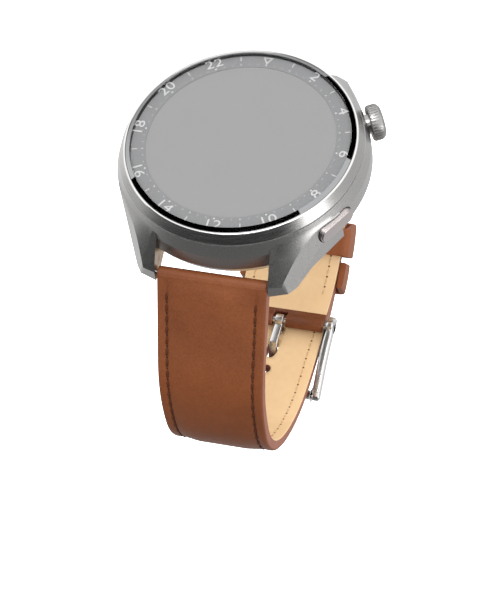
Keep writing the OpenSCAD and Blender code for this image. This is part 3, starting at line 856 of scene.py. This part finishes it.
def makeShortLeather():
    # whole round both bars and split for the lining between them
    pad, thick, join = padding["short"], strap["thick"] / 2, strap["joinOff"]
    stop = shortBand.length
    stations = [bandSection(shortBand, run, thick + shortBand.fold(run), -thick - shortBand.fold(run), 1, pad)
                for run in strap["closedRuns"]]
    stations += [bandSection(shortBand, run, thick + shortBand.fold(run), join, 1, pad)
                 for run in bandStations(strap["splitRun"], stop - 2.4)]
    stations += [bandSection(shortBand, run, thick, -thick, 1, pad)
                 for run in (stop - 2.3, stop - 1.6, stop - 0.8, stop - 0.3)]
    piece = sweepStations("shortLeather", stations, [finishes["brown_leather"], edgePaint])
    addRoll(piece, shortBand.points[0], strap["roll"], strap["width"] / 2 - 0.02)
    addRoll(piece, buckleAxis, strap["buckleRoll"], strap["endWidth"] / 2 - 0.02)
    return piece


def makeShortLining():
    thick, join, pad = strap["thick"] / 2, strap["joinOff"], padding["short"]
    stations = [bandSection(shortBand, run, join - 0.005, -thick - shortBand.fold(run), 0, pad)
                for run in bandStations(strap["splitRun"], shortBand.length - 2.35)]
    return sweepStations("shortLining", stations, [finishes["cream_lining"], edgePaint])


def bandTurn(way, out):
    # turns X across the strap, Y along it and Z outward
    return Matrix(((1, 0, 0), (0, way.x, way.y), (0, out.x, out.y))).transposed().to_4x4()


def holeCutter():
    # seven holes in the long strap; the tongue's one is a slot
    bm = bmesh.new()
    for k in range(-3, 4):
        run = frontRuns - 5 + k * strap["holePitch"]
        place, way, out = longBand.at(run)
        turn = bandTurn(way, out)
        stretch = Matrix.Diagonal((1.1, 2.2, 1, 1)) if k == 0 else Matrix.Identity(4)
        bmesh.ops.create_cone(bm, cap_ends=True, segments=32, radius1=strap["holeRadius"] * mm,
                              radius2=strap["holeRadius"] * mm, depth=6 * mm,
                              matrix=Matrix.Translation(Vector((0, place.x, place.y)) * mm) @ turn @ stretch)
    bmesh.ops.recalc_face_normals(bm, faces=bm.faces)
    return finishMesh("holeCutter", bm, [edgePaint])


def notchCutter():
    # the gap in the buckle's roll that the tongue stands in
    bm = bmesh.new()
    middle = Vector((0, buckleAxis.x - 0.4, buckleAxis.y)) * mm
    bmesh.ops.create_cube(bm, size=1, matrix=Matrix.Translation(middle) @ Matrix.Diagonal(
        (3 * mm, 5.2 * mm, 8 * mm, 1)))
    return finishMesh("notchCutter", bm, [edgePaint])


longLeather, longLining = makeLongLeather(), makeLongLining()
shortLeather, shortLining = makeShortLeather(), makeShortLining()
cutWith(longLeather, holeCutter())
cutWith(longLining, holeCutter())
cutWith(shortLeather, notchCutter())
print("leather and lining shaped")


# stitching

def stitchRow(bm, band, runs, offset, size, tilt):
    # the same small bead along both edges
    for side in (-1, 1):
        for run in runs:
            place, way, out = band.at(run)
            half = band.half(run) - strap["stitchInset"]
            point = place + out * offset(run)
            matrix = (Matrix.Translation(Vector((side * half, point.x, point.y)) * mm)
                      @ bandTurn(way, out) @ Matrix.Rotation(math.radians(tilt), 4, "Z")
                      @ Matrix.Diagonal((*size, 1)))
            bmesh.ops.create_uvsphere(bm, u_segments=8, v_segments=6, radius=0.5 * mm, matrix=matrix)


def makeStitches(name, band, stop, pad, inner):
    bm = bmesh.new()
    start, pitch, thick = strap["stitchFrom"], strap["stitchPitch"], strap["thick"] / 2
    runs = [start + pitch * i for i in range(int((stop - start) / pitch) + 1)]
    if inner:
        size = (0.34, strap["stitchLength"] * 0.8, 0.3)
        stitchRow(bm, band, runs, lambda run: -thick - band.fold(run) - 0.02, size, strap["stitchTilt"])
    else:
        size = (0.55, strap["stitchLength"], 0.42)
        stitchRow(bm, band, runs, lambda run: thick + band.fold(run) - 0.45 * padAt(pad, run) + 0.02,
                  size, strap["stitchTilt"])
    return finishMesh(name, bm, [innerThread if inner else outerThread])


def makeNeedleHoles(name, band, stop, pad, inner):
    # painted shade: dark dots that stand for the needle holes between the stitches, near black outside and brown
    # on the lining side
    bm = bmesh.new()
    start, pitch, thick = strap["stitchFrom"], strap["stitchPitch"], strap["thick"] / 2
    runs = [start + pitch * (i + 0.5) for i in range(int((stop - start) / pitch))]
    size = (0.45, 0.5, 0.12)
    if inner:
        stitchRow(bm, band, runs, lambda run: -thick - band.fold(run), size, 0)
    else:
        stitchRow(bm, band, runs, lambda run: thick + band.fold(run) - 0.5 * padAt(pad, run), size, 0)
    return finishMesh(name, bm, [needleShade if inner else needleHoleShade])


seams = {}
for part, band, stop in (("long", longBand, longBand.length - 8), ("short", shortBand, shortBand.length - 6)):
    for kind, maker in (("Stitches", makeStitches), ("NeedleHoles", makeNeedleHoles)):
        for inner in (False, True):
            name = part + kind + ("Inside" if inner else "")
            seams[name] = maker(name, band, stop, padding[part], inner)
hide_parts("long_leather_upper", "long_leather_lower")
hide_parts("long_lining_upper", "long_lining_lower")
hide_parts("short_leather_upper", "short_leather_lower")
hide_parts("short_lining_upper", "short_lining_lower")
for piece in [longLeather, longLining] + [seams[key] for key in seams if key.startswith("long")]:
    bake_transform(piece)
for piece in [shortLeather, shortLining] + [seams[key] for key in seams if key.startswith("short")]:
    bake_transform(piece)
print("strap stitched")


# keepers

keepers = {
    "fixed_keeper": {"from": 18.4, "arc": 12.5, "half": 9.72, "inner": loopRadius - 0.4, "closed": False,
                     "body": "strap_lower"},
    "free_keeper": {"from": 33.5, "arc": 14.2, "half": 10.05, "closed": True, "body": "free_keeper",
                    "inner": loopRadius - strap["thick"] / 2 - 0.2},
}
keeperBand = {"thick": 1.2, "corner": 0.9, "edge": 0.3, "swell": (0.02, 0.05, 0.06),
              "top": tailRadius + strap["thick"] / 2 + 0.2}


def keeperPath(settings):
    # middle of the band as (radius, x) points, with the way out at each
    thick, corner = keeperBand["thick"], keeperBand["corner"]
    top, low = keeperBand["top"] + thick / 2, settings["inner"] - thick / 2
    side = settings["half"] + thick / 2
    centres = [Vector((top - corner, corner - side)), Vector((top - corner, side - corner))]
    if settings["closed"]:
        centres += [Vector((low + corner, side - corner)), Vector((low + corner, corner - side))]
    points = []
    for number, centre in enumerate(centres):
        for i in range(7):
            turn = math.radians(90 * number - 90 + 15 * i)
            out = Vector((math.cos(turn), math.sin(turn)))
            points.append((centre + corner * out, out))
    if settings["closed"]:
        return points
    return [(Vector((settings["inner"], -side)), Vector((0, -1))), *points,
            (Vector((settings["inner"], side)), Vector((0, 1)))]


def keeperProfile(arc):
    # rounded section of the band: (degrees along the loop, depth from the middle)
    deep, edge = keeperBand["thick"] / 2, keeperBand["edge"]
    under, shoulder, crest = keeperBand["swell"]
    reach = math.degrees(edge / keeperBand["top"])
    near, shallow = reach * 0.3, deep - edge * 0.3
    return [(0, -deep + edge), (near, -shallow), (reach, -deep), (arc / 2, -deep - under),
            (arc - reach, -deep), (arc - near, -shallow), (arc, -deep + edge),
            (arc, deep - edge), (arc - near, shallow), (arc - reach, deep),
            (arc * 0.75, deep + shoulder), (arc / 2, deep + crest), (arc * 0.25, deep + shoulder),
            (reach, deep), (near, shallow), (0, deep - edge)]


def makeKeeper(name, settings):
    path, profile = keeperPath(settings), keeperProfile(settings["arc"])
    bm = bmesh.new()
    index = bm.verts.layers.int.new("profileIndex")

    def place(i, station):
        angle, depth = profile[i]
        point, out = station
        spot = point + out * depth
        ring = loopPoint(spot.x, settings["from"] + angle)
        return Vector((spot.y, ring.x, ring.y)) * mm

    first = sectionRing(bm, len(profile), index, lambda i: place(i, path[0]))
    ring = list(first)
    for station in path[1:] + (path[:1] if settings["closed"] else []):
        ring = nextRing(bm, ring, index, lambda i: place(i, station))
    if settings["closed"]:
        bmesh.ops.remove_doubles(bm, verts=bm.verts, dist=1e-7)
    else:
        for loop in (first, ring):
            bmesh.ops.edgeloop_fill(bm, edges=loop)
    bmesh.ops.recalc_face_normals(bm, faces=bm.faces)
    piece = finishMesh("keeper" + ("Free" if settings["closed"] else "Fixed"), bm,
                       [keeperPaintedLightLeather])
    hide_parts(name)
    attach(piece, settings["body"])
    return piece


for keeperName, keeperSettings in keepers.items():
    makeKeeper(keeperName, keeperSettings)
print("keepers made")


# softened copies of the machined CAD parts

softened = {
    "mid_case": 0,
    "crown_cap": 0.03,
    "button_cap": 0.12,
    "buckle_frame": 0.6,
    "tongue": 0.25,
}


def softenNode(nodeName, width, segments=4, steep=28):
    # the CAD part's own mesh, with its steep edges rounded by the width in millimetres
    source = frame["nodes"][nodeName]
    bm = bmesh.new()
    bm.from_mesh(source.data)
    bmesh.ops.remove_doubles(bm, verts=bm.verts, dist=2e-6)
    bmesh.ops.dissolve_limit(bm, angle_limit=math.radians(0.1), verts=bm.verts, edges=bm.edges)
    sharp = [edge for edge in bm.edges if len(edge.link_faces) == 2
             and edge.calc_face_angle(0) > math.radians(steep)]
    if width:
        bmesh.ops.bevel(bm, geom=sharp, offset=width * mm, offset_type="OFFSET", segments=segments,
                        profile=0.5, affect="EDGES", clamp_overlap=False, material=-1)
    bmesh.ops.triangulate(bm, faces=[face for face in bm.faces if len(face.verts) > 4])
    piece = finishMesh(nodeName + "Finished", bm, [finishes[slotOf[nodeName]]], 30 if width else 9)
    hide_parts(nodeName)
    bodies = frame["record"]["behaviour"]["bodies"]
    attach(piece, next(body for body in bodies if nodeName in bodies[body]))
    return piece


for nodeName, width in softened.items():
    softenNode(nodeName, width)
print("edges softened")


# floor, sky light, lamps and reflection cards

studio = {
    "floorDrop": 0.35,
    "skyTop": 1.5,
    "lowFront": 0.22,
    "lowBack": 0.85,
    "far": 0.5,
    "rimCards": [(133, 236), (35, 92)],
    "rimSteep": 0.572,
    "rimCardHalf": 0.06,
    "frontCard": {"turns": (-160, -40), "rises": (-8, 38)},
    "leftCard": {"toward": (-0.55, 0.5, -0.62), "size": (0.5, 0.4), "glow": 1.1},
}
lamps = {
    "rightLamp": {"toward": (0.94, -0.35, 0.0), "far": 0.55, "size": (0.22, 0.26), "power": 0.6},
    "topLamp": {"toward": (0.1, -0.15, 0.95), "far": 0.6, "size": (0.4, 0.4), "power": 1.9},
}


def makeWorld(settings):
    # bright above, dark low in front, mid grey low behind
    world = bpy.data.worlds.new("studio")
    world.use_nodes = True
    tree = world.node_tree
    parts = addNode(tree, "ShaderNodeSeparateXYZ",
                    Vector=addNode(tree, "ShaderNodeTexCoord").outputs["Generated"])
    rise = addNode(tree, "ShaderNodeMapRange", {"interpolation_type": "SMOOTHSTEP"}, Value=parts.outputs[2])
    rise.inputs["From Min"].default_value = -0.1
    rise.inputs["From Max"].default_value = 0.4
    back = addNode(tree, "ShaderNodeMapRange", {"interpolation_type": "SMOOTHSTEP"}, Value=parts.outputs[1])
    for key, number in (("From Min", -0.6), ("From Max", -0.1), ("To Min", settings["lowFront"]),
                        ("To Max", settings["lowBack"])):
        back.inputs[key].default_value = number
    blend = addNode(tree, "ShaderNodeMix", {"data_type": "FLOAT"}, i0=rise.outputs[0], i2=back.outputs[0],
                    i3=settings["skyTop"])
    tree.links.new(blend.outputs[0], tree.nodes["Background"].inputs["Strength"])
    tree.nodes["Background"].inputs["Color"].default_value = (1, 1, 1, 1)
    scene.world = world
    scene.view_settings.view_transform = "Standard"


def plainCard(name, bm, colour, glow):
    # one plain sheet of the set, which throws no shadow
    material, tree, shader = newMaterial(name)
    shader.inputs["Base Color"].default_value = (*colour, 1)
    shader.inputs["Roughness"].default_value = 1
    shader.inputs["Specular IOR Level"].default_value = 0
    shader.inputs["Emission Color"].default_value = (1, 1, 1, 1)
    shader.inputs["Emission Strength"].default_value = glow
    card = finishMesh(name, bm, [material])
    card.visible_shadow = False
    card.visible_diffuse = False
    return card


def makeFloor(settings):
    # seen by the camera only
    bm = bmesh.new()
    bmesh.ops.create_grid(bm, x_segments=1, y_segments=1, size=6,
                          matrix=Matrix.Translation((0, 0, cadBox[0].z - settings["floorDrop"])))
    floor = plainCard("floor", bm, (0.9, 0.9, 0.9), 1.1)
    floor.visible_glossy = False


def makeFrontCard(settings, far):
    # a dark wall curved round the front of the set
    bm = bmesh.new()
    low, high = (math.radians(rise) for rise in settings["rises"])
    start, end = settings["turns"]
    column = []
    count = 16
    for i in range(count + 1):
        turn = math.radians(start + (end - start) * i / count)
        spots = [bm.verts.new(Vector((math.cos(turn) * math.cos(rise), math.sin(turn) * math.cos(rise),
                                      math.sin(rise))) * far) for rise in (low, high)]
        if column:
            bm.faces.new((column[0], spots[0], spots[1], column[1]))
        column = spots
    plainCard("frontCard", bm, (0, 0, 0), 0.03).visible_camera = False


def makeCard(name, settings, far):
    # a flat card that faces the watch
    bm = bmesh.new()
    toward = Vector(settings["toward"]).normalized()
    turn = toward.to_track_quat("Z", "Y").to_matrix().to_4x4()
    width, height = settings["size"]
    bmesh.ops.create_grid(bm, x_segments=1, y_segments=1, size=0.5, matrix=(
        Matrix.Translation(toward * far) @ turn @ Matrix.Diagonal((width, height, 1, 1))))
    plainCard(name, bm, (0, 0, 0), settings["glow"]).visible_camera = False


def makeRimCard(name, start, end, settings):
    # a curved black strip where the edge of the glass looks, between two clock angles
    view = Vector(camera["back"])
    bm = bmesh.new()
    ring = []
    count = 12
    for i in range(count + 1):
        turn = math.radians(90 - start - (end - start) * i / count)
        spots = []
        for lift in (-settings["rimCardHalf"], settings["rimCardHalf"]):
            steep = settings["rimSteep"] + lift
            normal = Vector((math.cos(turn) * math.sin(steep), math.sin(turn) * math.sin(steep),
                             math.cos(steep)))
            look = 2 * normal.dot(view) * normal - view
            spots.append(bm.verts.new(look * settings["far"]))
        if ring:
            bm.faces.new((ring[0], ring[1], spots[1], spots[0]))
        ring = spots
    plainCard(name, bm, (0, 0, 0), 0).visible_camera = False


def makeLamp(name, settings):
    data = bpy.data.lights.new(name, "AREA")
    data.shape = "RECTANGLE"
    data.size, data.size_y = settings["size"]
    data.energy = settings["power"]
    lamp = bpy.data.objects.new(name, data)
    toward = Vector(settings["toward"]).normalized()
    lamp.matrix_world = (Matrix.Translation(toward * settings["far"])
                         @ toward.to_track_quat("Z", "Y").to_matrix().to_4x4())
    scene.collection.objects.link(lamp)


makeWorld(studio)
makeFloor(studio)
makeFrontCard(studio["frontCard"], studio["far"])
makeCard("leftCard", studio["leftCard"], studio["far"])
for number, (start, end) in enumerate(studio["rimCards"]):
    makeRimCard("rimCard" + str(number), start, end, studio)
for lampName, lampSettings in lamps.items():
    makeLamp(lampName, lampSettings)
print("studio lit")
